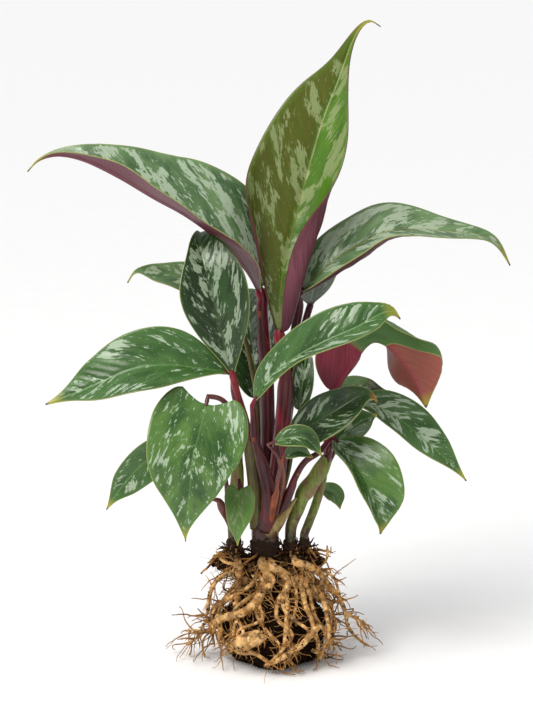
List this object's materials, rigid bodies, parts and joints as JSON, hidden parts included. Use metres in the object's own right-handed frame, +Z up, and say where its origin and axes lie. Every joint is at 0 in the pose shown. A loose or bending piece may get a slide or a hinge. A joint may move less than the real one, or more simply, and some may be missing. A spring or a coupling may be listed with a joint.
{
  "type": "bare-rooted apoballis plant",
  "caption": "Tropical foliage plant with long silver-marked leaves on purple stalks, lifted from its pot and standing on its soil-filled root ball.",
  "frame": {"origin": "middle of the flat underside of the soil, on the surface that the plant stands on", "axes": "+Z up along the stems, -Y towards the viewer of the picture, +X to that viewer's right"},
  "size_m": [0.3359, 0.2201, 0.4512],
  "materials": {
    "leaf": "satin dark green with silver blotches, mauve to wine red underneath",
    "purple_stalk": "smooth purple-red leaf stalks and sheaths",
    "green_stem": "smooth yellow-green with pink patches",
    "root": "rough tan with brown bands",
    "soil": "loose dark brown peat"
  },
  "bodies": {
    "root": {"leaf_crown": "leaf", "leaf_upper_left": "leaf", "leaf_upper_right": "leaf", "leaf_back_right": "leaf", "leaf_small_back_left": "leaf", "leaf_upright_left": "leaf", "leaf_left": "leaf", "leaf_heart_front": "leaf", "leaf_low_left": "leaf", "leaf_small_heart": "leaf", "leaf_right_front": "leaf", "leaf_right_folded": "leaf", "leaf_dark_right": "leaf", "leaf_small_front": "leaf", "leaf_long_right": "leaf", "leaf_drooping_right": "leaf", "leaf_low_behind": "leaf", "leaf_small_right": "leaf", "leaf_grey_right": "leaf", "leaf_inner_dark": "leaf", "leaf_back_left": "leaf", "leaf_tiny_front": "leaf", "shoot_main": "purple_stalk", "shoot_left": "green_stem", "cane": "green_stem", "stem_right": "green_stem", "rhizome_with_roots": "root", "soil": "soil"}
  },
  "joints": []
}
